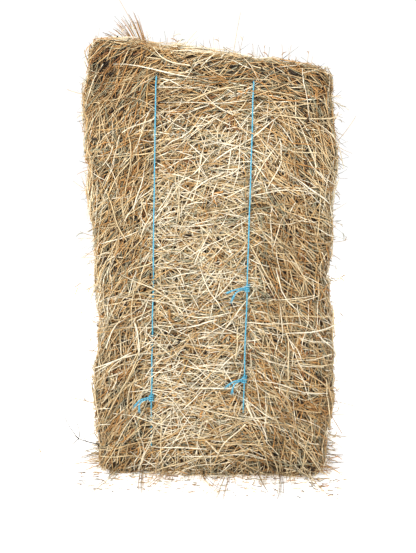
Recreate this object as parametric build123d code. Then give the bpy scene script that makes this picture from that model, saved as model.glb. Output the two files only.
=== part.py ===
from build123d import *
import math
import os

# A small two-string hay bale standing on one end, in millimetres.
# +Z is up, the broad front face looks towards -Y, and the origin is the centre of the end it stands on.

os.makedirs("parts", exist_ok=True)

# ---- Driving dimensions: the bale -------------------------------------------------------------
bale_width = 460.0           # across the broad faces, along X
bale_depth = 360.0           # from the front face to the back face, along Y
bale_length = 820.0          # from the floor to the middle of the upper end
end_skew = 60.0              # how much longer the left side is than the right side
corner_radius = 40.0         # the four long corners
flake_edge_radius = 8.0      # the soft edge where one flake meets the next
top_edge_radius = 24.0       # the softer edge round the upper end
front_swell = 6.0            # how far the fullest flake stands out at the front
side_swell = 7.0             # how far the fullest flake stands out at a side
flake_shares = [64, 58, 61, 55, 66, 60, 57, 63, 59, 54, 62, 65, 56, 60]

# ---- Driving dimensions: the twines -----------------------------------------------------------
twine_diameter = 3.0
twine_spacing = 180.0        # between the two twines
twine_shift = -16.0          # from the bale's middle to the twines' middle, at half height
twine_lean = 1.4             # degrees; both twines lean towards +X as they rise
twine_bend_radius = 45.0     # round the four edges that each twine crosses
front_sink = 2.0             # from the front face in to the twine's centre
hidden_sink = 4.0            # the same at the back and at both ends
groove_side_clearance = 2.5  # beside the twine in the channel that it presses into the hay
groove_clearance = 0.4       # between the twine and the channel's floor

# ---- Driving dimensions: the knots and their tails ----------------------------------------------
knot_left_height = 160.0
knot_lower_height = 200.0
knot_upper_height = 378.0
knot_core_length = 16.0
core_slack = 0.2             # how much fatter the core is than two strands side by side
wrap_gap = 1.2               # between the strands wrapped round the core
wrap_tilt = 24.0             # degrees
wrap_count = 3
heel_length = 12.0           # the doubled strand that the two tails leave
heel_margin = 0.15           # of the heel round the two tails
heel_yaw = 45.0              # degrees from the bale's left, out of the front face
pocket_clearance = 1.0       # round a knot that is pressed into the hay
tail_gap = 0.1               # between the two tails where they leave the heel

# What follows from the twine's thickness
groove_width = twine_diameter + 2 * groove_side_clearance
knot_core_radius = twine_diameter + core_slack
wrap_radius = twine_diameter / 2
wrap_pitch = twine_diameter + wrap_gap
heel_radius = twine_diameter + tail_gap / 2 + heel_margin

# ---- Driving dimensions: stalks ------------------------------------------------------------------
stalk_diameter = 2.4
fine_diameter = 1.6
twig_diameter = 3.0
root_depth = 26.0            # how deep a loose stalk is held in the bale
floor_gap = 0.2              # under the stalks that lie on the floor

tail_radii = []


def top_height(x):
    """Height of the upper end above the floor at this x."""
    return bale_length - end_skew * x / bale_width


def seam_height(share, x):
    """Height at this x of the seam that lies this share of the way up."""
    return share * top_height(x)


# ---- Flakes --------------------------------------------------------------------------------------
def swell(index, phase, most):
    """A flake's own share of the fullest swell: neighbours differ and no two run alike."""
    return most * (0.5 + 0.5 * math.sin(2.3 * index + phase))


def flake_blank(index, low_share, high_share):
    """One wad of hay between two slanting seams, before the twines press into it."""
    left = -bale_width / 2 - swell(index, 0.4, side_swell)
    right = bale_width / 2 + swell(index, 2.2, side_swell)
    front = -bale_depth / 2 - swell(index, 1.1, front_swell)
    back = bale_depth / 2
    middle = Location(((left + right) / 2, (front + back) / 2, 0))
    outline = middle * RectangleRounded(right - left, back - front, corner_radius)
    column = extrude(outline, bale_length + end_skew)
    reach = bale_width
    wedge = Polyline(
        (-reach, seam_height(low_share, -reach)),
        (reach, seam_height(low_share, reach)),
        (reach, seam_height(high_share, reach)),
        (-reach, seam_height(high_share, -reach)),
        close=True,
    )
    slab = extrude(Plane.XZ * make_face(wedge), bale_depth, both=True)
    return column & slab


def facing(shape, way):
    """The flat face that looks most nearly up (way 1) or down (way -1)."""
    return max(shape.faces().filter_by(GeomType.PLANE), key=lambda face: way * face.normal_at().Z)


def soften(blank, is_top):
    """Rounds the rims of a flake; the upper end of the bale is softer than a seam."""
    softened = fillet(facing(blank, -1).edges(), flake_edge_radius)
    top_radius = top_edge_radius if is_top else flake_edge_radius
    return fillet(facing(softened, 1).edges(), top_radius)


# ---- Twines --------------------------------------------------------------------------------------
lean = math.radians(twine_lean)


class Loop:
    """The leaning plane that one twine lies in, and the rectangle that it is pulled into."""

    def __init__(self, side):
        rise = bale_length / 2 * math.tan(lean)
        self.foot_x = twine_shift + side * twine_spacing / 2 - rise
        self.plane = Plane(
            origin=(self.foot_x, 0, 0),
            x_dir=(0, 1, 0),
            z_dir=(math.cos(lean), 0, -math.sin(lean)),
        )
        self.front = -bale_depth / 2 + front_sink
        self.back = bale_depth / 2 - hidden_sink
        self.low = hidden_sink / math.cos(lean)
        slope = end_skew / bale_width
        top_over_foot = bale_length - hidden_sink - slope * self.foot_x
        self.high = top_over_foot / (math.cos(lean) + slope * math.sin(lean))

    def at(self, height):
        """The twine's centre on the front face at this height."""
        return Vector(self.foot_x + height * math.tan(lean), self.front, height)

    def along(self, height):
        """How far up the leaning plane this height is."""
        return height / math.cos(lean)


loops = {"left": Loop(-1), "right": Loop(1)}
twine_up = Vector(math.sin(lean), 0, math.cos(lean))


def tube(path, diameter):
    """A round cord along a path."""
    section = Plane(origin=path @ 0, z_dir=path % 0) * Circle(diameter / 2)
    return sweep(section, path=path)


def twine_round(loop, start_height, end_height):
    """From below a knot down the front, round the whole bale, and back down to a knot's upper end."""
    corners = [
        (loop.front, loop.along(start_height) - knot_core_length / 2),
        (loop.front, loop.low),
        (loop.back, loop.low),
        (loop.back, loop.high),
        (loop.front, loop.high),
        (loop.front, loop.along(end_height) + knot_core_length / 2),
    ]
    path = loop.plane * FilletPolyline(*corners, radius=twine_bend_radius)
    return tube(path, twine_diameter), path.length


def twine_between(loop, low_height, high_height):
    """The straight length between two knots on the front."""
    start = loop.plane.from_local_coords((loop.front, loop.along(low_height) + knot_core_length / 2))
    end = loop.plane.from_local_coords((loop.front, loop.along(high_height) - knot_core_length / 2))
    path = Line(start, end)
    return tube(path, twine_diameter), path.length


def groove_cutter(loop):
    """Everything outside the channel's floor, as wide as the channel."""
    inset = twine_diameter / 2 + groove_clearance
    size_y = loop.back - loop.front - 2 * inset
    size_v = loop.high - loop.low - 2 * inset
    middle = Location(((loop.back + loop.front) / 2, (loop.high + loop.low) / 2, 0))
    floor = middle * RectangleRounded(size_y, size_v, twine_bend_radius - inset)
    around = middle * Rectangle(2 * bale_depth, 2 * bale_length)
    return extrude(loop.plane * (around - floor), groove_width / 2, both=True)


# ---- Knots and tails -------------------------------------------------------------------------------
yaw = math.radians(heel_yaw)
heel_way = Vector(-math.cos(yaw), -math.sin(yaw), 0)


def heel_end(centre):
    """Where the two tails leave a knot."""
    return centre + heel_way * heel_length


def knot(centre):
    """An overhand knot pulled tight: core, wraps, and the doubled strand that its tails leave."""
    upright = Plane(origin=centre, x_dir=(math.cos(lean), 0, -math.sin(lean)), z_dir=twine_up)
    lump = upright * Cylinder(knot_core_radius, knot_core_length)
    for turn in range(wrap_count):
        rise = (turn - (wrap_count - 1) / 2) * wrap_pitch
        tilt = wrap_tilt if turn % 2 == 0 else -wrap_tilt
        lump += upright * Pos(0, 0, rise) * Rot(tilt, 0, 0) * Torus(knot_core_radius, wrap_radius)
    heel = Plane(origin=centre, z_dir=heel_way) * Cylinder(
        heel_radius, heel_length, align=(Align.CENTER, Align.CENTER, Align.MIN)
    )
    return lump + heel


def knot_pocket(centre):
    """The dent that a knot presses into the hay."""
    width = heel_length * math.cos(yaw) + heel_radius + pocket_clearance
    half = knot_core_radius + wrap_radius + pocket_clearance
    height = knot_core_length + 2 * pocket_clearance
    box = Box(
        width + half, bale_depth / 4, height, align=(Align.MAX, Align.MAX, Align.CENTER)
    )
    return Pos(centre.X + half, centre.Y + half, centre.Z) * box


def smooth_route(points):
    """A cord's route: straight runs joined by the largest arcs that the runs allow."""
    radii = []
    for before, corner, after in zip(points, points[1:], points[2:]):
        turn = math.radians((corner - before).get_angle(after - corner))
        shorter = min((corner - before).length, (after - corner).length)
        radii.append(0.45 * shorter / math.tan(turn / 2))
    tail_radii.extend(radii)
    return FilletPolyline(*points, radius=radii)


# The tails' points are steps from where each tail leaves its heel: along X, Y and Z.
tail_steps = {
    "left_a": [(-7, -7, 0), (-16, -9, -5), (-22, -8, -15)],
    "left_b": [(-7, -7, 0), (-13, -10, -7), (-13, -9, -20)],
    "lower_a": [(-7, -7, 0), (-17, -9, -4), (-26, -8, -12)],
    "lower_b": [(-7, -7, 0), (-13, -10, -8), (-14, -9, -20)],
    "upper_a": [(-7, -7, 0), (-18, -9, -3), (-30, -8, -8)],
    "upper_b": [(-7, -7, 0), (-15, -10, -7), (-20, -9, -19)],
}


def tail(centre, steps, is_upper):
    """One cut end of the twine, hanging from its knot down the front of the bale."""
    offset = (twine_diameter + tail_gap) / 2
    start = heel_end(centre) + Vector(0, 0, offset if is_upper else -offset)
    path = smooth_route([start] + [start + Vector(*step) for step in steps])
    return tube(path, twine_diameter), path.length


# ---- Loose stalks ------------------------------------------------------------------------------------
def stalk(points, diameter):
    """A stem through these points, bent gently at each one between its ends."""
    if len(points) == 2:
        return tube(Line(*points), diameter)
    bends = []
    for before, corner, after in zip(points, points[1:], points[2:]):
        turn = math.radians((corner - before).get_angle(after - corner))
        shorter = min((corner - before).length, (after - corner).length)
        bends.append(min(0.45 * shorter / math.tan(turn / 2), 2 * shorter))
    return tube(FilletPolyline(*points, radius=bends), diameter)


def left_root(along, up):
    """A point inside the left side: along its depth from -1 to 1, and up its height from 0 to 1."""
    return Vector(-bale_width / 2 + root_depth, along * bale_depth / 2, up * bale_length)


def right_root(along, up):
    """A point inside the right side."""
    return Vector(bale_width / 2 - root_depth, along * bale_depth / 2, up * bale_length)


def back_root(across, up):
    """A point inside the back face: across its width from -1 to 1, and up its height from 0 to 1."""
    return Vector(across * bale_width / 2, bale_depth / 2 - root_depth, up * bale_length)


def top_root(across, along):
    """A point inside the upper end."""
    x = across * bale_width / 2
    return Vector(x, along * bale_depth / 2, top_height(x) - root_depth)


def bunch(stalks, diameter):
    """Stalks of one thickness, each a root and its steps from that root."""
    return [stalk([root] + [root + Vector(*step) for step in steps], diameter) for root, steps in stalks]


def outside_flakes(rod, flakes):
    """The part of a stalk that shows: what each flake it meets doesn't hide."""
    for flake in flakes:
        if rod.bounding_box().overlaps(flake.bounding_box()):
            rod = rod - flake
    return rod


floor_rise = stalk_diameter / 2 + floor_gap


def on_floor(across, steps):
    """A stalk that leaves the foot of the front face and comes down to the floor."""
    root = Vector(across * bale_width / 2, -bale_depth / 2 + root_depth, flake_edge_radius + floor_rise)
    points = [root]
    for step_x, step_y, height in steps:
        points.append(Vector(root.X + step_x, root.Y + step_y, floor_rise + height))
    return stalk(points, stalk_diameter)


def standing_off(side, along, foot_height, steps, diameter):
    """A stalk that leaves a side near the floor; its heights are above the floor, not the root."""
    x = side * (bale_width / 2 - root_depth)
    rise = diameter / 2 + floor_gap
    root = Vector(x, along * bale_depth / 2, foot_height)
    points = [root]
    for step_x, step_y, height in steps:
        points.append(Vector(x + side * step_x, root.Y + step_y, rise + height))
    return stalk(points, diameter)


loose = {}

loose["loose_stalks_top"] = bunch(
    [
        (top_root(0.16, -0.55), [(10, -6, 60), (19, -10, 106)]),
        (top_root(-0.53, -0.60), [(-22, -12, 62), (-50, -22, 108)]),
        (top_root(-0.36, -0.40), [(-8, 4, 38), (-12, 6, 66)]),
        (top_root(-0.30, -0.70), [(26, -8, 40), (44, -10, 54)]),
        (top_root(0.04, -0.50), [(-14, -6, 56)]),
        (top_root(0.46, -0.35), [(6, -4, 58)]),
        (top_root(0.62, 0.30), [(16, 10, 48), (34, 14, 60)]),
        (top_root(-0.10, 0.45), [(-20, 16, 58)]),
    ],
    fine_diameter,
) + bunch(
    [
        (top_root(-0.20, -0.20), [(-40, -20, 40)]),
        (top_root(0.30, 0.10), [(46, 6, 38)]),
        (top_root(-0.55, 0.40), [(-34, 8, 46)]),
    ],
    stalk_diameter,
)

loose["tuft_top_left"] = bunch(
    [
        (top_root(-0.56, -0.62), [(-22, -8, 52), (-40, -14, 72)]),
        (top_root(-0.59, -0.58), [(-30, -6, 44), (-52, -10, 56)]),
        (top_root(-0.62, -0.66), [(-34, -12, 38), (-60, -20, 44)]),
        (top_root(-0.54, -0.50), [(-18, 4, 54), (-30, 6, 78)]),
        (top_root(-0.58, -0.45), [(-26, 6, 50), (-44, 10, 70)]),
        (top_root(-0.64, -0.52), [(-40, 2, 36), (-66, 4, 42)]),
        (top_root(-0.51, -0.68), [(-14, -12, 52), (-24, -18, 76)]),
        (top_root(-0.66, -0.60), [(-42, -10, 30), (-62, -14, 30)]),
    ],
    stalk_diameter,
)

loose["loose_stalks_left"] = bunch(
    [
        (left_root(-0.70, 0.520), [(-66, -6, 4)]),
        (left_root(-0.62, 0.560), [(-34, -6, -40), (-78, -16, -124)]),
        (left_root(-0.60, 0.650), [(-40, -6, 24), (-68, -8, 46)]),
        (left_root(-0.40, 0.760), [(-58, -4, -20)]),
        (left_root(-0.66, 0.860), [(-54, -10, 6)]),
        (left_root(0.20, 0.400), [(-50, 6, 20), (-70, 10, 18)]),
        (left_root(0.45, 0.700), [(-44, 10, -34)]),
    ],
    fine_diameter,
) + bunch(
    [
        (left_root(-0.75, 0.250), [(-62, -8, -30)]),
        (left_root(-0.55, 0.330), [(-48, -4, -46)]),
        (left_root(0.05, 0.600), [(-54, -4, 22)]),
    ],
    stalk_diameter,
)

loose["loose_stalks_right"] = bunch(
    [
        (right_root(-0.60, 0.760), [(42, -6, 26), (72, -8, 78)]),
        (right_root(-0.50, 0.880), [(50, -4, -22)]),
        (right_root(-0.66, 0.470), [(105, -12, 14)]),
        (right_root(-0.58, 0.440), [(36, -4, 16), (76, -8, 50)]),
        (right_root(0.10, 0.620), [(60, 6, 26)]),
        (right_root(0.40, 0.350), [(46, 8, -12), (66, 12, -34)]),
        (right_root(-0.30, 0.560), [(50, 0, -8), (70, 4, 2)]),
    ],
    fine_diameter,
) + bunch(
    [
        (right_root(-0.55, 0.345), [(38, -6, -22), (42, -8, -66), (34, -6, -108), (52, -8, -150)]),
        (right_root(-0.74, 0.205), [(30, -6, -34), (58, -12, -84)]),
        (right_root(0.15, 0.500), [(54, 2, 8)]),
    ],
    stalk_diameter,
)

loose["loose_stalks_back"] = bunch(
    [
        (back_root(-0.55, 0.900), [(-16, 50, 22), (-34, 76, 14)]),
        (back_root(0.50, 0.820), [(20, 58, 10)]),
        (back_root(0.05, 0.720), [(-10, 70, 12)]),
        (back_root(-0.62, 0.300), [(-12, 60, -16)]),
        (back_root(0.44, 0.240), [(14, 48, 8), (30, 72, -4)]),
        (back_root(-0.08, 0.120), [(6, 66, -10)]),
    ],
    fine_diameter,
)

loose["loose_stalks_base_left"] = [
    standing_off(-1, -0.70, 122.0, [(95, -8, 146)], stalk_diameter),
    standing_off(-1, -0.58, 96.0, [(58, -6, 120)], fine_diameter),
    standing_off(-1, -0.72, 16.0, [(60, -20, 7), (112, -30, 10), (182, -36, 78)], fine_diameter),
    standing_off(-1, -0.50, 30.0, [(60, -14, 24), (96, -18, 4)], fine_diameter),
    standing_off(-1, 0.10, 24.0, [(64, 6, 12)], stalk_diameter),
]

loose["loose_stalks_base_right"] = [
    standing_off(1, -0.66, 150.0, [(48, -8, 146), (92, -10, 132)], fine_diameter),
    standing_off(1, -0.48, 178.0, [(74, -4, 174)], fine_diameter),
    standing_off(1, -0.60, 74.0, [(72, -8, 66)], stalk_diameter),
    standing_off(1, -0.72, 30.0, [(40, -14, 10), (60, -22, 0)], stalk_diameter),
    standing_off(1, 0.20, 22.0, [(66, 10, 8)], stalk_diameter),
]

loose["loose_stalks_floor"] = [
    on_floor(-0.78, [(-12, -60, 2), (-34, -112, 0)]),
    on_floor(-0.60, [(10, -100, 0)]),
    on_floor(-0.34, [(-26, -92, 0)]),
    on_floor(-0.10, [(20, -70, 1), (50, -104, 0)]),
    on_floor(0.16, [(-16, -118, 0)]),
    on_floor(0.40, [(24, -88, 0)]),
    on_floor(0.60, [(6, -62, 2), (-6, -120, 0)]),
    on_floor(0.84, [(30, -96, 0)]),
]

twig_foot = left_root(-0.66, 0.045)
twig_fork = twig_foot + Vector(-66, -12, 18)
loose["twig_base_left"] = [
    stalk([twig_foot, twig_foot + Vector(-40, -8, 6), twig_fork], twig_diameter),
    stalk([twig_fork, twig_fork + Vector(-22, -4, 26), twig_fork + Vector(-34, -6, 70)], fine_diameter),
    stalk([twig_fork, twig_fork + Vector(8, -2, 22), twig_fork + Vector(-14, -4, 58)], fine_diameter),
    stalk([twig_fork, twig_fork + Vector(-24, -6, -20)], fine_diameter),
]

# ---- Build -------------------------------------------------------------------------------------------
knot_centres = {
    "knot_left": loops["left"].at(knot_left_height),
    "knot_right_lower": loops["right"].at(knot_lower_height),
    "knot_right_upper": loops["right"].at(knot_upper_height),
}

cutters = [groove_cutter(loop) for loop in loops.values()]
cutters += [knot_pocket(centre) for centre in knot_centres.values()]

nodes = {}
share_total = sum(flake_shares)
packed = 0
for number, share in enumerate(flake_shares, start=1):
    low_share = packed / share_total
    packed += share
    blank = flake_blank(number, low_share, packed / share_total)
    nodes[f"flake_{number:02d}"] = soften(blank, number == len(flake_shares)) - cutters
flakes = list(nodes.values())

lengths = {}
nodes["twine_left"], lengths["twine_left"] = twine_round(
    loops["left"], knot_left_height, knot_left_height
)
nodes["twine_right_run"], lengths["twine_right_run"] = twine_round(
    loops["right"], knot_lower_height, knot_upper_height
)
nodes["twine_right_between_knots"], lengths["twine_right_between_knots"] = twine_between(
    loops["right"], knot_lower_height, knot_upper_height
)

for name, centre in knot_centres.items():
    nodes[name] = knot(centre)

tail_knots = {"left": "knot_left", "lower": "knot_right_lower", "upper": "knot_right_upper"}
for name, steps in tail_steps.items():
    place, letter = name.split("_")
    node = f"tail_{place}_{letter}"
    nodes[node], lengths[node] = tail(knot_centres[tail_knots[place]], steps, letter == "a")

for name, stalks in loose.items():
    shown = [outside_flakes(rod, flakes) for rod in stalks]
    nodes[name] = shown[0] + shown[1:] if len(shown) > 1 else shown[0]

for name, shape in nodes.items():
    export_step(shape, f"parts/{name}.step")

for name, length in lengths.items():
    expected = math.pi * twine_diameter ** 2 / 4 * length
    print(f"{name}: {length:.1f} mm long, volume {nodes[name].volume:.0f}, section x length {expected:.0f}")
print("tail bend radii:", ", ".join(f"{radius:.1f}" for radius in tail_radii))
for name, centre in knot_centres.items():
    print(name, "centre", tuple(round(value, 2) for value in centre), "tails leave", tuple(heel_end(centre)))
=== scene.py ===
# %% [markdown]
# # A small hay bale, tied with two blue twines
#
# Hay is cut grass, dried in the field. A baler's plunger packs it stroke by stroke, and each stroke leaves
# one flake, a wad of pressed stalks. Fourteen flakes stacked on their end and held by two tight twines make
# this bale. Nothing on it is smooth: what the eye reads as a surface is tens of thousands of stalks.
#
# This lesson builds it in that order: the frame that fixes every size, the camera, a lumpy core for each
# flake, the pressed stalks that Geometry Nodes lay over the cores, the twines with their knots, and last the
# stray stalks round the outside.

# %% Load the fixed frame
import math
import random

import bmesh
import bpy
from mathutils import Matrix, Vector, noise


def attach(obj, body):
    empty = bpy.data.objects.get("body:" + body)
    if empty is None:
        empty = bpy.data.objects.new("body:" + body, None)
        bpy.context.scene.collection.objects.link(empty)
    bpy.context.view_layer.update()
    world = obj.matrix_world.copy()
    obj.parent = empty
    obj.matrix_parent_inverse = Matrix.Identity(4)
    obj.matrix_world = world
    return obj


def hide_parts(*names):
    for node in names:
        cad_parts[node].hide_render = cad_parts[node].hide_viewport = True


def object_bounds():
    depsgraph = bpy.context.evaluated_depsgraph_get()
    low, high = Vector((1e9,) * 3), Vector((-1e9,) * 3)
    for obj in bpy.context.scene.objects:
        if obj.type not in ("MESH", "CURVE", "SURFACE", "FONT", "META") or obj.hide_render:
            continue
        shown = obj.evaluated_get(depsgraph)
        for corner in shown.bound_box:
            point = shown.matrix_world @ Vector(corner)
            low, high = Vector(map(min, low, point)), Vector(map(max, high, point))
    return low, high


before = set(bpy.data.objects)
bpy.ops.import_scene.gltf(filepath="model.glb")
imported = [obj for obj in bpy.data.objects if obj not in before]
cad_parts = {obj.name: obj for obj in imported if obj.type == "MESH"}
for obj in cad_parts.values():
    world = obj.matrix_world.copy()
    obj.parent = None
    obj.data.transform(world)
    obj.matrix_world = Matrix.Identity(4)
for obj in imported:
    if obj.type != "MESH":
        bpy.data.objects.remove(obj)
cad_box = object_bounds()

print("CAD box", [[round(v, 3) for v in corner] for corner in cad_box])

# %% [markdown]
# ## Sizes
#
# The frame gives the boxes of the flakes and the twines. From those come the bale's width, depth and length,
# the slant of its upper end, and where each twine runs. Everything below is worked out from them.

# %% Sizes of the bale, in metres
MM = 0.001
FLAKE_NODES = sorted(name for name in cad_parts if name.startswith("flake_"))
FLAKES = len(FLAKE_NODES)

WIDTH = 460 * MM
DEPTH = 360 * MM
LENGTH = 820 * MM
END_SKEW = 60 * MM
LEAN = math.radians(1.4)
TWINE_SPACING = 180 * MM
TWINE_SHIFT = -16 * MM


def top_height(x):
    """Height of the slanting upper end at this x."""
    return LENGTH - END_SKEW * x / WIDTH


def twine_x(side, height):
    """Where the left (-1) or right (1) twine is on the front face at this height."""
    return TWINE_SHIFT + side * TWINE_SPACING / 2 + (height - LENGTH / 2) * math.tan(LEAN)


print(FLAKES, "flakes; twines at", round(twine_x(-1, 0.4), 3), "and", round(twine_x(1, 0.4), 3))

# %% [markdown]
# ## Camera, floor and light
#
# The camera comes first, because it settles what has to look right. It stands 1.6 m in front of the bale, a
# little to its right and a little above its middle. The light is a plain studio: one soft light from the
# upper left, a weaker one from the right, and a pale floor that fills the shadows.

# %% Camera
STAND_OFF = 1.6
CAMERA_AZIMUTH = math.radians(4)
CAMERA_ELEVATION = math.radians(8)
AIM = Vector((-0.0135, 0.0, 0.375))
SENSOR_MM = 36
LENS_MM = 48.694394
SCENE = bpy.context.scene


def placed(name, data, location=(0, 0, 0)):
    """A new object in the scene."""
    made = bpy.data.objects.new(name, data)
    made.location = location
    SCENE.collection.objects.link(made)
    return made


def facing(way):
    """The turn that points a camera or a light this way."""
    return way.to_track_quat("-Z", "Y").to_euler()


camera_data = bpy.data.cameras.new("camera")
camera_data.sensor_fit = "VERTICAL"
camera_data.sensor_height = SENSOR_MM
camera_data.lens = LENS_MM
away = Vector((
    math.sin(CAMERA_AZIMUTH) * math.cos(CAMERA_ELEVATION),
    -math.cos(CAMERA_AZIMUTH) * math.cos(CAMERA_ELEVATION),
    math.sin(CAMERA_ELEVATION),
))
camera = placed("camera", camera_data, AIM + away * STAND_OFF)
camera.rotation_euler = facing(-away)
SCENE.camera = camera
print("camera at", [round(v, 3) for v in camera.location])


# %% Materials need colours in linear light
def colour(red, green, blue):
    """A screen colour from 0 to 255, as the linear colour that shaders work in."""
    linear = []
    for value in (red, green, blue):
        v = value / 255
        linear.append(v / 12.92 if v <= 0.04045 else ((v + 0.055) / 1.055) ** 2.4)
    return (*linear, 1.0)


# %% Floor and light
WHITE = (1, 1, 1, 1)
SURROUND, BACKDROP = 0.66, 1.05
FLOOR = 12.0
FLOOR_LOOK = {
    "Base Color": (0.93, 0.93, 0.93, 1), "Roughness": 0.9, "Emission Color": WHITE, "Emission Strength": 0.42,
}


def soft_light(name, location, size, power, tint=(1, 1, 1)):
    """A square area light that faces the middle of the bale."""
    data = bpy.data.lights.new(name, "AREA")
    data.shape, data.size, data.energy, data.color = "SQUARE", size, power, tint
    placed(name, data, location).rotation_euler = facing(Vector((0, 0, LENGTH / 2)) - Vector(location))


soft_light("key", (-1.3, -2.2, 2.3), 0.7, 100, (1.0, 0.98, 0.95))
soft_light("fill", (2.0, -2.0, 1.2), 1.6, 14)
soft_light("back", (0.6, 2.4, 2.0), 1.6, 40)

world = bpy.data.worlds.new("studio")
world.use_nodes = True
sky = world.node_tree.nodes["Background"]
sky.inputs["Color"].default_value = WHITE
seen = world.node_tree.nodes.new("ShaderNodeLightPath").outputs["Is Camera Ray"]
strength = world.node_tree.nodes.new("ShaderNodeMapRange")
strength.inputs["To Min"].default_value = SURROUND
strength.inputs["To Max"].default_value = BACKDROP
world.node_tree.links.new(seen, strength.inputs["Value"])
world.node_tree.links.new(strength.outputs["Result"], sky.inputs["Strength"])
SCENE.world = world
SCENE.view_settings.view_transform = "Standard"

floor_material = bpy.data.materials.new("studio floor")
floor_material.use_nodes = True
for label, value in FLOOR_LOOK.items():
    floor_material.node_tree.nodes["Principled BSDF"].inputs[label].default_value = value
floor_mesh = bpy.data.meshes.new("floor")
corners = [(-FLOOR, -FLOOR, 0), (FLOOR, -FLOOR, 0), (FLOOR, FLOOR, 0), (-FLOOR, FLOOR, 0)]
floor_mesh.from_pydata(corners, [], [(0, 1, 2, 3)])
floor_mesh.materials.append(floor_material)
floor = placed("floor", floor_mesh)
print("studio ready")


# %% [markdown]
# ## Small helpers for node trees
#
# Both materials and Geometry Nodes are graphs. Written out call by call they are hard to read, so two small
# classes help: a `Graph` adds a node, sets its options and feeds its inputs in one step, and a `Value` is one
# output, which can be added, multiplied and so on like a number.

# %% Node helpers
class Value:
    """One output of a node; a sum or a product of it is the output of one more node."""

    def __init__(self, graph, socket):
        self.graph, self.socket = graph, socket

    def step(operation):
        """A method that adds one node of math."""
        return lambda self, other: self.graph.math(operation, self, other)

    __add__, __sub__, __mul__ = step("ADD"), step("SUBTRACT"), step("MULTIPLY")
    __truediv__, __pow__ = step("DIVIDE"), step("POWER")

    def __rsub__(self, other):
        return self.graph.math("SUBTRACT", other, self)

    def __abs__(self):
        return self.graph.math("ABSOLUTE", self)


class Graph:
    """Adds nodes to a tree; each call is one node or a few that belong together."""

    def __init__(self, tree):
        self.tree = tree

    def feed(self, node, inputs):
        """Gives inputs, by name or number, a plain value or another node's output."""
        for key, value in inputs.items():
            if isinstance(value, Value):
                self.tree.links.new(value.socket, node.inputs[key])
            else:
                node.inputs[key].default_value = value

    def node(self, kind, inputs={}, **options):
        made = self.tree.nodes.new(kind)
        for key, value in options.items():
            setattr(made, key, value)
        self.feed(made, inputs)
        return made

    def values(self, kind, outputs, inputs={}, **options):
        """Several outputs of one new node."""
        made = self.node(kind, inputs, **options)
        return [Value(self, made.outputs[output]) for output in outputs]

    def value(self, kind, inputs={}, output=0, **options):
        """One output of a new node."""
        return self.values(kind, [output], inputs, **options)[0]

    def geometry(self, kind, inputs={}, output=0, **options):
        """One output of a new geometry node."""
        return self.value("GeometryNode" + kind, inputs, output, **options)

    def math(self, operation, *numbers):
        return self.value("ShaderNodeMath", dict(enumerate(numbers)), operation=operation)

    def vector(self, operation, *ways):
        return self.value("ShaderNodeVectorMath", dict(enumerate(ways)), operation=operation)

    def scaled(self, way, factor):
        return self.value("ShaderNodeVectorMath", {0: way, "Scale": factor}, operation="SCALE")

    def xyz(self, x=0.0, y=0.0, z=0.0):
        return self.value("ShaderNodeCombineXYZ", {"X": x, "Y": y, "Z": z})

    def between(self, first, second, angle):
        """The way that lies at this angle from the first, towards the second."""
        ways = self.scaled(first, self.math("COSINE", angle)), self.scaled(second, self.math("SINE", angle))
        return self.vector("ADD", *ways)

    def remap(self, value, from_low, from_high, to_low, to_high, smooth=False):
        """A value moved from one range to another, and kept inside it."""
        ends = {"From Min": from_low, "From Max": from_high, "To Min": to_low, "To Max": to_high}
        kind = "SMOOTHSTEP" if smooth else "LINEAR"
        return self.value("ShaderNodeMapRange", {"Value": value, **ends}, interpolation_type=kind)

    def random(self, low, high, seed, identity=None):
        """A random number for each element, or for each identity."""
        made = self.node("FunctionNodeRandomValue", data_type="FLOAT")
        wanted = {"Min_001": low, "Max_001": high, "Seed": seed, "ID": identity}
        for number, socket in enumerate(made.inputs):
            if wanted.get(socket.identifier) is not None:
                self.feed(made, {number: wanted[socket.identifier]})
        return next(Value(self, socket) for socket in made.outputs if socket.identifier == "Value_001")

    def ramp(self, value, stops, interpolation="LINEAR"):
        """A colour for each value; stops are positions with their colours, lowest first."""
        made = self.node("ShaderNodeValToRGB", {"Fac": value})
        made.color_ramp.interpolation = interpolation
        elements = made.color_ramp.elements
        while len(elements) < len(stops):
            elements.new(0.5)
        for element, (position, rgb) in zip(elements, stops):
            element.position, element.color = position, colour(*rgb)
        return Value(self, made.outputs["Color"])

    def named(self, name, kind="FLOAT"):
        """The value of a stored attribute."""
        return self.geometry("InputNamedAttribute", {"Name": name}, "Attribute", data_type=kind)

    def store(self, geometry, name, value, kind="FLOAT", domain="POINT"):
        """Geometry that carries this value as an attribute."""
        inputs = {"Geometry": geometry, "Name": name, "Value": value}
        return self.geometry("StoreNamedAttribute", inputs, data_type=kind, domain=domain)

    def finished(self, geometry, material):
        """Smooth geometry with its material, made real, because instances would be lost in an export."""
        smoothed = self.geometry("SetShadeSmooth", {"Geometry": geometry})
        real = self.geometry("RealizeInstances", {"Geometry": smoothed})
        return self.geometry("SetMaterial", {"Geometry": real, "Material": material})

    def given(self):
        """The tree's own inputs, by name."""
        return {socket.name: Value(self, socket) for socket in self.node("NodeGroupInput").outputs}

    def give(self, name, value):
        """Sets what the tree puts out."""
        self.feed(self.node("NodeGroupOutput"), {name: value})


# %% [markdown]
# ## Fibre streaks, shared by the materials
#
# Grass stems and twine are both bundles of long fibres, and both look streaked along their length and uneven
# across it. One shader group makes that pattern from a place across and a place along, so each material only
# says how finely its own fibres are divided.

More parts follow.
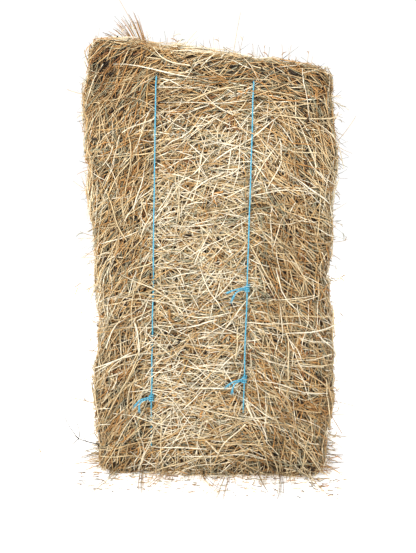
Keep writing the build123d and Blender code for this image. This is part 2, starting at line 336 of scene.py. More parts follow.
# %% Shader group of fibre streaks
def streak_group():
    """Noise drawn out along a fibre: from a place across and along, to a mask from 0 to 1."""
    tree = bpy.data.node_groups.new("Fibre streaks", "ShaderNodeTree")
    defaults = {"Across": 0.0, "Along": 0.0, "Across scale": 1.0, "Along scale": 1.0, "Detail": 3.0}
    for label, value in defaults.items():
        tree.interface.new_socket(label, in_out="INPUT", socket_type="NodeSocketFloat").default_value = value
    tree.interface.new_socket("Mask", in_out="OUTPUT", socket_type="NodeSocketFloat")
    graph = Graph(tree)
    given = graph.given()
    place = graph.xyz(given["Across"] * given["Across scale"], given["Along"] * given["Along scale"])
    inputs = {"Vector": place, "Scale": 1.5, "Detail": given["Detail"]}
    fibres = graph.value("ShaderNodeTexNoise", inputs, "Fac")
    graph.give("Mask", graph.remap(fibres, 0.3, 0.7, 0.0, 1.0))
    return tree


fibre_streaks = streak_group()


def streaks(graph, across, along, across_scale, along_scale, detail):
    """The streak mask at this place, from the shared group."""
    inputs = {
        "Across": across, "Along": along, "Across scale": across_scale,
        "Along scale": along_scale, "Detail": detail,
    }
    return graph.value("ShaderNodeGroup", inputs, "Mask", node_tree=fibre_streaks)


print("streak group of", len(fibre_streaks.nodes), "nodes")

# %% [markdown]
# ## One material for all the hay
#
# Every stalk in a real bale has its own colour: cream stems, tan and orange leaf, olive and grey-green blades
# that dried in the shade, and dark brown leaf near the ground. The colours are sorted into a palette from
# dark to pale; its dark end also serves as painted shade, on the cores and on stalks that lie low. A stalk's
# UV map picks its strip of the palette (across) and tells how far along the stalk a point is (up), so colour,
# joints and ribs all follow the stalk however it is bent. Reading only the UV also lets all the stalks of a
# piece share one small baked picture.

# %% Hay material
PALETTE = [
    (44, 32, 20), (70, 52, 34), (96, 80, 52), (128, 86, 50),
    (136, 106, 66), (124, 114, 88), (164, 124, 74), (190, 140, 82),
    (176, 150, 110), (152, 148, 122), (206, 168, 112), (214, 184, 138),
    (218, 196, 154), (228, 208, 168), (236, 222, 192), (246, 236, 212),
]
LEVELS = len(PALETTE)
BAKE_MAP = "OFBake"
RIBS = 5
RIB_DEPTH = 0.2 * MM


def new_material(name):
    """A material, its graph, its shader, and the places across and along a fibre that its UV map gives."""
    material = bpy.data.materials.new(name)
    material.use_nodes = True
    graph = Graph(material.node_tree)
    uv = graph.value("ShaderNodeUVMap", output="UV", uv_map=BAKE_MAP)
    across, along = graph.values("ShaderNodeSeparateXYZ", ("X", "Y"), {0: uv})
    return material, graph, material.node_tree.nodes["Principled BSDF"], across, along


def hay_material(name):
    """Dry stalks: palette strip across, joints, blotches and dry tips along, fine ribs in the bump."""
    material, graph, shader, across, along = new_material(name)
    palette = [(step / LEVELS, rgb) for step, rgb in enumerate(PALETTE)]
    tint = graph.ramp(across, palette, "CONSTANT")
    scaled = across * LEVELS
    strip = graph.math("FLOOR", scaled)
    blotch = streaks(graph, strip, along, 6.3, 4.3, 4.0)
    shade = graph.remap(blotch, 0.0, 1.0, 0.72, 1.16)
    joint_wave = graph.math("FRACT", graph.math("MULTIPLY_ADD", along, 2.6, strip * 0.37))
    joint = graph.remap(abs(joint_wave - 0.5), 0.0, 0.04, 0.66, 1.0)
    tip = graph.remap(along, 0.82, 1.0, 1.0, 0.78)
    ribs = graph.math("SINE", graph.math("FRACT", scaled) * (RIBS * math.tau))
    graph.feed(shader, {
        "Base Color": graph.scaled(tint, shade * joint * tip),
        "Roughness": graph.remap(blotch, 0.0, 1.0, 0.5, 0.78),
        "Normal": graph.value("ShaderNodeBump", {"Height": ribs, "Strength": 0.25, "Distance": RIB_DEPTH}),
        "Specular IOR Level": 0.35,
    })
    return material


dry_hay = hay_material("dry hay")
print("palette of", LEVELS, "hay colours")

# %% [markdown]
# ## The cores of the flakes
#
# A flake could be left as a box with stalks on it, but then its gaps would show a flat wall. Each core is a
# lumpy closed shell instead: full between the twines, pulled in where a twine presses on it, and a little
# hollow at each seam. The same function shapes every point, so neighbouring flakes meet.

# %% Shape of the bale's skin
CORNER = 42 * MM
ROUND_STEPS = 7
EDGE_STEP = 14 * MM
SKIN_INSET = 7 * MM
TWINE_REACH = 22 * MM
SEAM_REACH = 10 * MM
SEAM_DEPTH = 11 * MM
DENT_DEPTH = 5 * MM
TOP_PULL, FOOT_PULL = 20 * MM, 6 * MM
LEFT_SHOULDER, RIGHT_SHOULDER = 13 * MM, 5 * MM


def outline():
    """Points and outward directions once round the bale's rounded section, anticlockwise from above."""
    half_x, half_y = WIDTH / 2 - SKIN_INSET, DEPTH / 2 - SKIN_INSET
    points = []
    for quarter in range(4):
        sign_x = 1 if quarter in (0, 3) else -1
        sign_y = 1 if quarter in (0, 1) else -1
        centre = Vector((sign_x * (half_x - CORNER), sign_y * (half_y - CORNER), 0))
        for step in range(ROUND_STEPS + 1):
            angle = math.radians(90 * quarter + 90 * step / ROUND_STEPS)
            way = Vector((math.cos(angle), math.sin(angle), 0))
            points.append((centre + way * CORNER, way))
    dense = []
    for (point, way), (next_point, next_way) in zip(points, points[1:] + points[:1]):
        steps = max(1, round((next_point - point).length / EDGE_STEP))
        for step in range(steps):
            share = step / steps
            dense.append((point.lerp(next_point, share), way.lerp(next_way, share).normalized()))
    return dense


def smooth(value, low, high):
    """0 below low, 1 above high, and an even slope between them."""
    share = min(max((value - low) / (high - low), 0.0), 1.0)
    return share * share * (3 - 2 * share)


def lumps(point):
    """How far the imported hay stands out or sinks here."""
    broad = noise.noise(point * 4.5 + Vector((3.1, 0.4, 7.7)))
    middling = noise.noise(point * 11.0 + Vector((8.0, 2.0, 1.0)))
    small = noise.noise(point * 26.0)
    return 11 * MM * broad + 8 * MM * middling + 4 * MM * small


def twine_dent(point):
    """0 far from both twines, 1 under one of them."""
    near = min(abs(point.x - twine_x(side, point.z)) for side in (-1, 1))
    return math.exp(-((near / TWINE_REACH) ** 2))


FLAKE_SHARES = [64, 58, 61, 55, 66, 60, 57, 63, 59, 54, 62, 65, 56, 60]
SEAMS = [sum(FLAKE_SHARES[:count]) / sum(FLAKE_SHARES) for count in range(1, FLAKES)]


def seam_hollow(base, share):
    """How far the skin sinks at a seam; some stretches of a seam are open and others are packed shut."""
    seam = min(SEAMS, key=lambda value: abs(value - share))
    near = math.exp(-(((share - seam) * LENGTH / SEAM_REACH) ** 2))
    place = Vector((base.x, base.y, seam)) * 7.0
    return SEAM_DEPTH * near * max(0.0, 0.35 + noise.noise(place))


def skin_point(base, way, share):
    """The skin at one place of the outline and one share of the height."""
    height = share * top_height(base.x)
    point = Vector((base.x, base.y, height))
    facing_twine = abs(way.y) ** 2
    top_pull = smooth(share, 0.955, 1.0) ** 2 * TOP_PULL
    foot_pull = smooth(1 - share, 0.975, 1.0) ** 2 * FOOT_PULL
    dent = twine_dent(point) * facing_twine
    offset = lumps(point) * (1 - 0.75 * dent) - DENT_DEPTH * dent - top_pull - foot_pull
    offset -= seam_hollow(base, share) * (1 - 0.6 * dent)
    left = smooth(height, 0.44, 0.58) * smooth(0.80 - height, 0.0, 0.08)
    right = smooth(0.72 - height, 0.0, 0.1)
    offset += LEFT_SHOULDER * max(0.0, -way.x) * left + RIGHT_SHOULDER * max(0.0, way.x) * right
    return point + way * offset


OUTLINE = outline()
print(len(OUTLINE), "points round the section")

# %% Mesh of each core
ROWS = 5
CAP_RINGS = 12
CAP_DROP = 12 * MM
BASE_LIFT = 3.5 * MM


def cap_point(ring, share, is_top):
    """A ring of the upper or lower end, drawn in towards the middle."""
    inner = 1 - ring / CAP_RINGS
    points = []
    for base, way in OUTLINE:
        rim = skin_point(base, way, share)
        x, y = rim.x * inner, rim.y * inner
        if is_top:
            crown = CAP_DROP * (1 - inner ** 6)
            place = Vector((x, y, top_height(x)))
            dent = 7 * MM * twine_dent(place)
            z = top_height(x) - CAP_DROP + crown + 0.8 * lumps(place) * (1 - inner ** 4) - dent
        else:
            z = BASE_LIFT
        points.append(Vector((x, y, z)))
    return points


def core_mesh(index, low_share, high_share):
    """One closed lumpy wad; the faces of its outside are marked as skin."""
    vertices, faces, skin = [], [], []
    count = len(OUTLINE)
    is_top, is_base = index == FLAKES - 1, index == 0

    def bridge(first, second, flag):
        for step in range(count):
            after = (step + 1) % count
            faces.append((first + step, first + after, second + after, second + step))
            skin.append(flag)

    for row in range(ROWS + 1):
        share = low_share + (high_share - low_share) * row / ROWS
        for base, way in OUTLINE:
            point = skin_point(base, way, share)
            if is_base:
                point.z = max(point.z, BASE_LIFT)
            if is_top and row == ROWS:
                point.z -= CAP_DROP
            vertices.append(point)
    for row in range(ROWS):
        bridge(row * count, (row + 1) * count, 1.0)

    for share, at_top, marked in ((low_share, False, is_base), (high_share, True, is_top)):
        previous = 0 if not at_top else ROWS * count
        rings = CAP_RINGS if marked else 1
        for ring in range(1, rings):
            start = len(vertices)
            vertices.extend(cap_point(ring, share, at_top))
            bridge(*((previous, start) if at_top else (start, previous)), 1.0)
            previous = start
        centre = len(vertices)
        middle = sum((vertices[previous + step] for step in range(count)), Vector()) / count
        vertices.append(middle)
        for step in range(count):
            after = (step + 1) % count
            loop = (previous + step, previous + after, centre)
            faces.append(loop if at_top else loop[::-1])
            skin.append(1.0 if marked else 0.0)

    mesh = bpy.data.meshes.new(f"core_{index + 1:02d}")
    mesh.from_pydata(vertices, [], faces)
    mesh.attributes.new("skin", "FLOAT", "FACE").data.foreach_set("value", skin)
    mesh.validate()
    mesh.update()
    return mesh


cores = []
packed = 0
for index, thickness in enumerate(FLAKE_SHARES):
    low = packed / sum(FLAKE_SHARES)
    packed += thickness
    cores.append(core_mesh(index, low, packed / sum(FLAKE_SHARES)))
print(FLAKES, "cores,", sum(len(mesh.polygons) for mesh in cores), "faces")

# %% [markdown]
# ## How the stalks lie
#
# Stalks don't lie at random. Between the twines they were pressed flat and point every way; outside the left
# twine they hang down to the left like a fringe, and outside the right twine they slant down to the right.
# Each vertex of the skin stores three things that the stalks will read: `grain`, the way they mostly lie,
# `scatter`, how far they stray from it, and `pale`, how light they are there, which holds painted shade:
# lighter between the twines, darker outside them, on the sides and in the top band.

# %% Grain, scatter, tone and painted shade of the skin
def store_values(mesh, name, values, kind="FLOAT", domain="POINT"):
    """Stores a number or a vector on every point or face."""
    field = "vector" if kind == "FLOAT_VECTOR" else "value"
    mesh.attributes.new(name, kind, domain).data.foreach_set(field, values)


def lie_of(point, way):
    """Mean slant of the stalks in degrees above the horizontal, their scatter, and their paleness and painted
    shade.
    """
    patch = 0.15 * noise.noise(point * 6.0 + Vector((11.0, 2.0, 5.0)))
    patch += 0.10 * noise.noise(point * 17.0 + Vector((1.0, 9.0, 4.0)))
    if way.y < -0.6:
        left_of = smooth(twine_x(-1, point.z) - point.x, -0.01, 0.03)
        right_of = smooth(point.x - twine_x(1, point.z), -0.01, 0.03)
        high = smooth(point.z, 0.68, 0.74)
        slant = 8 + left_of * (58 - 20 * high) - right_of * (62 - 25 * high)
        scatter = 74 - 30 * high - 22 * left_of * (1 - high) - 20 * right_of * (1 - high)
        # Painted shade: lighter between the twines, darker outside them, and darker in the top band that the
        # key light strikes.
        tone = 0.07 * (1 - left_of - right_of) - 0.06 * (left_of + right_of) - 0.12 * high
        return slant, scatter, patch + tone
    # Painted shade: the left and right sides are darker.
    if abs(way.x) > 0.6:
        return -60 * way.x, 62, patch - 0.06
    return 10, 76, patch


def paint_lie(mesh):
    """Stores grain, scatter and paleness, with its painted shade, on every vertex."""
    grain, scatter, pale = [], [], []
    for vertex in mesh.vertices:
        way = vertex.normal
        flat = Vector((way.x, way.y, 0))
        if flat.length < 0.3:
            slant, spread, tone = 0, 90, 0.08 * noise.noise(vertex.co * 7.0)
            along = Vector((1, 0, 0))
        else:
            slant, spread, tone = lie_of(vertex.co, flat.normalized())
            level = Vector((0, 0, 1)).cross(flat.normalized())
            angle = math.radians(slant)
            along = level * math.cos(angle) + Vector((0, 0, 1)) * math.sin(angle)
        grain.extend((along - way * along.dot(way)).normalized())
        scatter.append(math.radians(spread))
        pale.append(tone)
    store_values(mesh, "grain", grain, "FLOAT_VECTOR")
    store_values(mesh, "scatter", scatter)
    store_values(mesh, "pale", pale)


def map_core(mesh):
    """Gives the core the darkest strips of the palette, as painted shade in the gaps between the stalks."""
    layer = mesh.uv_layers.new(name=BAKE_MAP)
    for polygon in mesh.polygons:
        strip = polygon.index % 2
        foot = 0.1 + 0.07 * (polygon.index * 5 % 11)
        places = ((0.2, foot), (0.8, foot), (0.8, foot + 0.08), (0.2, foot + 0.08))
        for corner, (across, along) in zip(polygon.loop_indices, places):
            layer.data[corner].uv = ((strip + across) / LEVELS, along)


def whole_skin():
    """The outside of all the cores as one surface, for the stalks to lie on."""
    joined = bmesh.new()
    for mesh in cores:
        joined.from_mesh(mesh)
    mark = joined.faces.layers.float["skin"]
    bmesh.ops.delete(joined, geom=[face for face in joined.faces if face[mark] < 0.5], context="FACES")
    bmesh.ops.remove_doubles(joined, verts=joined.verts, dist=0.1 * MM)
    mesh = bpy.data.meshes.new("bale skin")
    joined.to_mesh(mesh)
    joined.free()
    store_values(mesh, "out", [value for vertex in mesh.vertices for value in vertex.normal], "FLOAT_VECTOR")
    return mesh


for mesh in cores:
    paint_lie(mesh)
    map_core(mesh)
    mesh.materials.append(dry_hay)

skin_object = placed("bale skin", whole_skin())
print("skin of", len(skin_object.data.vertices), "points")

# %% [markdown]
# ## Stalks, laid by Geometry Nodes
#
# Tens of thousands of stalks can't be placed by hand, but one tree of nodes can lay them all: scatter points
# on the skin, stand a line of a few points on each, turn it along the grain, bend it, let it settle on the
# skin of the whole bale, and give it thickness. The same tree makes flat leaf, round stems, ends that poke
# out and crumpled bits; only its inputs differ. It also writes each stalk's place in the palette, with
# painted shade that makes the deeper-lying stalks darker, and presses the stalks down where a twine runs over
# them.

# %% Inputs of the stalk tree
STALK_INPUTS = {
    "Skin": "Object", "Density": 10000.0, "Shortest": 0.03, "Longest": 0.09, "Points": 5, "Held": 0.5,
    "Thickness": 0.002, "Flatness": 0.7, "Scatter scale": 1.0, "Least rise": 0.0, "Most rise": 0.0,
    "Cling": 0.9, "Bow": 0.08, "Least lift": 0.0, "Most lift": 0.006, "Tip lift": 0.002, "Pale": 0.6,
    "Spread": 0.6, "Lowest corner": (-1.0, -1.0, 0.0), "Highest corner": (1.0, 1.0, 1.0), "Seed": 1,
    "Material": "Material",
}
SOCKETS = {int: "Int", float: "Float", tuple: "Vector"}


def new_tree(name, inputs):
    """A Geometry Nodes tree, its graph, and its inputs by name; each is given its default or its kind."""
    tree = bpy.data.node_groups.new(name, "GeometryNodeTree")
    tree.interface.new_socket("Geometry", in_out="INPUT", socket_type="NodeSocketGeometry")
    for label, value in inputs.items():
        kind = SOCKETS.get(type(value), value)
        made = tree.interface.new_socket(label, in_out="INPUT", socket_type="NodeSocket" + kind)
        if kind != value:
            made.default_value = value
    tree.interface.new_socket("Geometry", in_out="OUTPUT", socket_type="NodeSocketGeometry")
    graph = Graph(tree)
    return tree, graph, graph.given()


# %% The stalk tree, first half: lines that lie along the grain
def lay_lines(graph, given):
    """Straight lines on the skin, each turned along the grain; returns them as curves."""
    seed, held = given["Seed"], given["Held"]
    points, normal = graph.values(
        "GeometryNodeDistributePointsOnFaces", ("Points", "Normal"),
        {"Mesh": given["Geometry"], "Selection": graph.math("GREATER_THAN", graph.named("skin"), 0.5),
         "Density": given["Density"], "Seed": seed},
        distribute_method="RANDOM",
    )
    stray = graph.random(-0.7, 0.7, seed + 11) + graph.random(-0.7, 0.7, seed + 12)
    reach = graph.named("scatter") * given["Scatter scale"]
    half_turn = graph.math("GREATER_THAN", graph.random(0.0, 1.0, seed + 13), 0.5)
    turn = graph.math("MULTIPLY_ADD", half_turn, math.pi, stray * reach)
    grain = graph.named("grain", "FLOAT_VECTOR")
    spun = graph.value("ShaderNodeVectorRotate", {"Vector": grain, "Axis": normal, "Angle": turn})
    rise = graph.random(given["Least rise"], given["Most rise"], seed + 14)
    way = graph.between(spun, normal, rise)
    aimed = graph.value("FunctionNodeAlignRotationToVector", {"Vector": way}, axis="X")
    settled = graph.value(
        "FunctionNodeAlignRotationToVector", {"Rotation": aimed, "Vector": normal}, axis="Z", pivot_axis="X",
    )
    share = graph.random(0.0, 1.0, seed + 15) ** 1.5
    length = graph.remap(share, 0.0, 1.0, given["Shortest"], given["Longest"])
    ends = {"Start": graph.xyz(held * -1.0), "End": graph.xyz(1.0 - held)}
    fine = graph.geometry(
        "ResampleCurve", {"Curve": graph.geometry("CurvePrimitiveLine", ends), "Count": given["Points"]},
    )
    placed_lines = graph.geometry("InstanceOnPoints", {
        "Points": points, "Instance": fine, "Rotation": settled, "Scale": graph.xyz(length, length, length),
    })
    return graph.geometry("RealizeInstances", {"Geometry": placed_lines})


# %% The stalk tree, second half: settle, press, thicken and map
PRESS_NEAR, PRESS_FAR = 3 * MM, 9 * MM
PRESSED_LIFT = 1.6 * MM
SHOWN_LOW, SHOWN_HIGH = (0.125, 0.150), (0.755, 0.785)


def press_of_twines(graph, place):
    """1 under the shown part of a twine, 0 away from it."""
    across, height = graph.values("ShaderNodeSeparateXYZ", ("X", "Z"), {0: place})
    above = graph.remap(height, *SHOWN_LOW, 0.0, 1.0, smooth=True)
    shown = above * graph.remap(height, *SHOWN_HIGH, 1.0, 0.0, smooth=True)
    pressed = 0.0
    for side in (-1, 1):
        line = graph.math("MULTIPLY_ADD", height, math.tan(LEAN), twine_x(side, 0.0))
        near = graph.remap(abs(across - line), PRESS_NEAR, PRESS_FAR, 1.0, 0.0, smooth=True)
        if side < 0:
            near = near * graph.remap(height, 0.38, 0.46, 0.3, 1.0, smooth=True)
        pressed = graph.math("MAXIMUM", near, pressed)
    return pressed * shown


def solid_line(graph, curve, ring, around, size):
    """Body for a curve; its section, the ring, remembers the place around."""
    profile = graph.store(ring, "around", around)
    inputs = {"Curve": curve, "Profile Curve": profile, "Scale": size, "Fill Caps": True}
    return graph.geometry("CurveToMesh", inputs)


def thickened(graph, curve, size, marks, flatness, sides):
    """Stalks with body, mapped to the palette; marks are each point's strip and its place along."""
    for name, value in zip(("strip", "along"), marks):
        curve = graph.store(curve, name, value)
    ring = graph.geometry("CurvePrimitiveCircle", {"Resolution": sides, "Radius": 1.0})
    flat = graph.geometry("Transform", {"Geometry": ring, "Scale": graph.xyz(flatness, 1.0, 1.0)})
    solid = solid_line(graph, curve, flat, graph.geometry("SplineParameter", output="Factor"), size)
    across = graph.math("MULTIPLY_ADD", graph.named("around"), 0.7, 0.15) + graph.named("strip")
    up = graph.math("MULTIPLY_ADD", graph.named("along"), 0.96, 0.02)
    return graph.store(solid, BAKE_MAP, graph.xyz(across / LEVELS, up), "FLOAT2", "CORNER")


def palette_strip(graph, tone):
    """The strip of the palette for a tone from 0, dark, to 1, pale."""
    return graph.math("FLOOR", graph.remap(tone, 0.0, 1.0, 0.0, 0.999) * LEVELS)


def stalk_tree():
    """Stalks on the skin of a piece, added to the piece itself."""
    tree, graph, given = new_tree("Pressed stalks", STALK_INPUTS)
    lines = lay_lines(graph, given)
    curve = graph.geometry("CurveOfPoint", output="Curve Index")
    skin = graph.geometry("ObjectInfo", {"Object": given["Skin"]}, "Geometry")
    place = graph.geometry("InputPosition")
    along = graph.geometry("SplineParameter", output="Factor")

    def per_stalk(low, high, step):
        return graph.random(low, high, given["Seed"] + step, curve)

    nearest = graph.geometry(
        "SampleNearestSurface",
        {"Mesh": skin, "Value": graph.named("out", "FLOAT_VECTOR"), "Sample Position": place},
        "Value", data_type="FLOAT_VECTOR",
    )
    out = graph.vector("NORMALIZE", nearest)
    sideways = graph.vector("NORMALIZE", graph.vector("CROSS_PRODUCT", graph.geometry("InputTangent"), out))
    arch = along * 4.0 * (1.0 - along)
    wave = graph.math("SINE", graph.math("MULTIPLY_ADD", along, 7.0, per_stalk(0.0, 6.0, 21)))
    bend = arch * per_stalk(-1.0, 1.0, 22) + wave * 0.25
    shift = bend * given["Bow"] * graph.geometry("SplineLength", output="Length")
    bowed = graph.geometry("SetPosition", {"Geometry": lines, "Offset": graph.scaled(sideways, shift)})

    close = graph.geometry(
        "Proximity", {0: skin, "Source Position": place}, "Position", target_element="FACES",
    )
    to_skin = graph.scaled(graph.vector("SUBTRACT", close, place), given["Cling"] * per_stalk(0.8, 1.0, 23))
    rank = per_stalk(0.0, 1.0, 24)
    lift = graph.remap(rank ** 1.4, 0.0, 1.0, given["Least lift"], given["Most lift"])
    end = abs(graph.math("MULTIPLY_ADD", along, 2.0, -1.0)) ** 2.0
    tips = end * given["Tip lift"] * per_stalk(-0.6, 1.0, 25)
    held_down = graph.math("GREATER_THAN", per_stalk(0.0, 1.0, 28), 0.05)
    pressed = press_of_twines(graph, place) * held_down
    raised = graph.math("MULTIPLY_ADD", pressed * rank, PRESSED_LIFT, (lift + tips) * (1.0 - pressed))
    moved = graph.vector("ADD", graph.vector("ADD", place, to_skin), graph.scaled(out, raised))
    over = graph.vector("MAXIMUM", moved, given["Lowest corner"])
    boxed = graph.vector("MINIMUM", over, given["Highest corner"])
    settled = graph.geometry("SetPosition", {"Geometry": bowed, "Position": boxed})

    thick = given["Thickness"] * 0.5 * per_stalk(0.65, 1.35, 26)
    taper = graph.remap(along, 0.0, 0.15, 0.7, 1.0) * graph.remap(along, 0.55, 1.0, 1.0, 0.35)
    turned = graph.geometry("SetCurveNormal", {"Curve": settled, "Normal": out}, mode="FREE")
    tone = given["Pale"] + graph.named("pale") + (per_stalk(0.0, 1.0, 27) - 0.5) * given["Spread"]
    # Painted shade: stalks that lie lower, with a smaller rank and so a smaller lift, pick darker strips.
    strip = palette_strip(graph, graph.math("MULTIPLY_ADD", rank - 0.5, 0.22, tone))
    mapped = thickened(graph, turned, thick * taper, (strip, along), given["Flatness"], 3)
    bare = graph.store(mapped, "skin", 0.0, domain="FACE")
    both = graph.node("GeometryNodeJoinGeometry")
    for geometry in (graph.finished(bare, given["Material"]), given["Geometry"]):
        graph.feed(both, {0: geometry})
    graph.give("Geometry", Value(graph, both.outputs[0]))
    return tree


pressed_stalks = stalk_tree()
print("stalk tree of", len(pressed_stalks.nodes), "nodes")


# %% Running a tree on a piece
def add_tree(piece, tree, **values):
    """Puts a tree on a piece as a modifier and sets its inputs by their names."""
    modifier = piece.modifiers.new(tree.name, "NODES")
    modifier.node_group = tree
    for socket in tree.interface.items_tree:
        key = socket.name.replace(" ", "_").lower()
        if socket.in_out == "INPUT" and key in values:
            modifier[socket.identifier] = values[key]


def made_real(piece, name):
    """The piece with its trees worked out, as a plain mesh in a new object; the old one goes."""
    graph = bpy.context.evaluated_depsgraph_get()
    mesh = bpy.data.meshes.new_from_object(piece.evaluated_get(graph))
    mesh.name = name
    for spare in ("skin", "grain", "scatter", "pale", "along", "around", "strip"):
        if spare in mesh.attributes:
            mesh.attributes.remove(mesh.attributes[spare])
    bpy.data.objects.remove(piece)
    return placed(name, mesh)


def finish_piece(piece, slot, *nodes):
    """Hides the CAD nodes that the piece stands for and puts the piece on the root body; slot is not used."""
    if nodes:
        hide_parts(*nodes)
    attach(piece, "root")
    return piece


# %% [markdown]
# ## The fourteen flakes
#
# Each layer of stalks is one run of the tree. Short flat leaf is pressed into the core and is darker, stems
# lie over it, crumpled bits and poking ends come on top, and a few long pale stems cross several flakes. What
# a layer doesn't say keeps the tree's own value.

# %% Layers of stalks
ALLOWED_LOW = Vector(cad_box[0]) - Vector((4 * MM, 4 * MM, 0))
ALLOWED_LOW.z = 2.4 * MM
ALLOWED_HIGH = Vector(cad_box[1]) + Vector((4 * MM, 18 * MM, 4 * MM))
END_FLAKE_SHARE = 0.75

LAYERS = [
    dict(density=17000, shortest=0.014, longest=0.050, points=4, thickness=3.4 * MM, flatness=0.24,
         scatter_scale=1.5, cling=0.97, bow=0.16, least_lift=-1 * MM, most_lift=4 * MM, tip_lift=3 * MM,
         pale=0.44, spread=0.8),
    dict(density=15000, shortest=0.030, longest=0.110, points=6, thickness=2.0 * MM, flatness=0.75,
         cling=0.90, bow=0.07, least_lift=2 * MM, most_lift=9 * MM, tip_lift=5 * MM,
         pale=0.70, spread=0.62),
    dict(density=2600, shortest=0.012, longest=0.030, thickness=4.4 * MM, flatness=0.30,
         scatter_scale=1.5, cling=0.92, bow=0.5, most_lift=8 * MM, tip_lift=6 * MM,
         pale=0.22, spread=0.5),
    dict(density=1000, shortest=0.025, longest=0.070, thickness=1.5 * MM, flatness=0.8,
         held=0.35, scatter_scale=1.2, least_rise=0.12, most_rise=0.95, cling=0.0, bow=0.16,
         most_lift=6 * MM, pale=0.55, spread=0.8),
    dict(density=340, shortest=0.085, longest=0.190, points=9, thickness=2.5 * MM, flatness=0.8,
         cling=0.82, bow=0.06, least_lift=8 * MM, most_lift=12 * MM, tip_lift=6 * MM,
         pale=0.88, spread=0.25),
]

hay_pieces = []
for index, (node, mesh) in enumerate(zip(FLAKE_NODES, cores)):
    flake = placed("core", mesh)
    share = END_FLAKE_SHARE if index in (0, FLAKES - 1) else 1.0
    for number, layer in enumerate(LAYERS):
        values = dict(layer, density=layer["density"] * share)
        add_tree(
            flake, pressed_stalks, skin=skin_object, material=dry_hay, seed=100 * index + 10 * number,
            lowest_corner=ALLOWED_LOW, highest_corner=ALLOWED_HIGH, **values,
        )
    hay_pieces.append(finish_piece(made_real(flake, f"hay_{node}"), "hay", node))

triangles = [sum(len(face.vertices) - 2 for face in piece.data.polygons) for piece in hay_pieces]
print("triangles in each flake", triangles, "in all", sum(triangles))

# %% [markdown]
# ## Twine
#
# Baling twine is loose plastic fibre, laid into strands and twisted. Here three strands turn about one line,
# and one tree makes every twine, knot and tail from its line. The fibres show as streaks, pale and dark.

# %% Twine material
TWINE_COLOURS = [(0.12, (28, 92, 118)), (0.5, (72, 164, 194)), (0.88, (156, 216, 234))]
FIBRE_DEPTH = 0.2 * MM


def twine_material(name):
    """Light blue fibre: fine streaks along each strand and broader faded patches."""
    material, graph, shader, across, along = new_material(name)
    fibre = streaks(graph, across, along, 9.0, 3.0, 3.0)
    fade = streaks(graph, across, along, 1.5, 1.5, 1.0)
    graph.feed(shader, {
        "Base Color": graph.ramp(graph.math("MULTIPLY_ADD", fibre, 0.7, fade * 0.3), TWINE_COLOURS),
        "Normal": graph.value("ShaderNodeBump", {"Height": fibre, "Strength": 0.5, "Distance": FIBRE_DEPTH}),
        "Roughness": 0.5,
        "Specular IOR Level": 0.4,
    })
    return material


blue_twine = twine_material("blue twine")

# %% Tree that lays strands round a line
STRAND_INPUTS = {
    "Strands": 3, "Pitch": 22 * MM, "Spread": 0.62 * MM, "Strand radius": 0.85 * MM, "Step": 2.5 * MM,
    "Unevenness": 0.12, "Sides": 6, "Material": "Material",
}


def strand_tree():
    """Strands laid round each line of a curve; alone, with no spread, it makes a plain tapered fibre."""
    tree, graph, given = new_tree("Twisted strands", STRAND_INPUTS)
    even = graph.geometry("ResampleCurve", {"Curve": given["Geometry"], "Length": given["Step"]}, mode="LENGTH")
    copies, number = graph.values(
        "GeometryNodeDuplicateElements", ("Geometry", "Duplicate Index"),
        {"Geometry": even, "Amount": given["Strands"]}, domain="SPLINE",
    )
    factor, length = graph.values("GeometryNodeSplineParameter", ("Factor", "Length"))
    laps = length / given["Pitch"]
    angle = (number / given["Strands"] + laps) * math.tau
    normal = graph.geometry("InputNormal")
    other = graph.vector("CROSS_PRODUCT", graph.geometry("InputTangent"), normal)
    wobble = graph.value("ShaderNodeTexNoise", {"Scale": 160.0, "Detail": 1.0}, "Fac")
    reach = given["Spread"] * graph.remap(wobble, 0.3, 0.7, 0.85, 1.15)
    shift = graph.scaled(graph.between(normal, other, angle), reach)
    laid = graph.geometry("SetPosition", {"Geometry": copies, "Offset": shift})
    marked = graph.store(laid, "along", graph.math("PINGPONG", laps, 1.0))
    ring = graph.geometry("CurvePrimitiveCircle", {"Resolution": given["Sides"], "Radius": 1.0})
    uneven = graph.math("MULTIPLY_ADD", wobble - 0.5, given["Unevenness"], 1.0)
    radius = given["Strand radius"] * uneven * graph.geometry("InputRadius")
    solid = solid_line(graph, marked, ring, graph.math("PINGPONG", factor * 2.0, 1.0), radius)
    place = graph.xyz(graph.named("around"), graph.named("along"))
    mapped = graph.store(solid, BAKE_MAP, place, "FLOAT2", "CORNER")
    graph.give("Geometry", graph.finished(mapped, given["Material"]))
    return tree


twisted_strands = strand_tree()
print("strand tree of", len(twisted_strands.nodes), "nodes")


# %% Lines for the trees
def line_object(name, routes, radii=None):
    """A curve of one smooth open spline for each route."""
    data = bpy.data.curves.new(name, "CURVE")
    data.dimensions = "3D"
    data.resolution_u = 12
    for number, route in enumerate(routes):
        spline = data.splines.new("NURBS")
        spline.points.add(len(route) - 1)
        for index, point in enumerate(route):
            spline.points[index].co = (*point, 1.0)
            spline.points[index].radius = radii[number][index] if radii else 1.0
        spline.order_u = 3
        spline.use_endpoint_u = True
    return placed(name, data)


def strands(name, routes, radii=None, **values):
    """Twine along the routes, as a mesh."""
    line = line_object(name + " line", routes, radii)
    add_tree(line, twisted_strands, material=blue_twine, **values)
    return made_real(line, name)


# %% [markdown]
# ## The two twines
#
# Each twine goes once round the bale, up the front and down the back. On the front it lies in the groove it
# has pressed; near both ends the hay closes over it, so there its line goes a little deeper. The right twine
# was mended: a short length joins two knots.

# %% Routes of the twines
KNOTS = {"knot_left": (-1, 160 * MM), "knot_right_lower": (1, 200 * MM), "knot_right_upper": (1, 378 * MM)}
FRONT_Y = -178 * MM
BACK_Y = 176 * MM
HIDDEN_SINK = 9 * MM
TOP_SINK = 7 * MM
FOOT_RISE = 5 * MM
BEND = 52 * MM
SHOWN = (150 * MM, 762 * MM)
FADE = 34 * MM


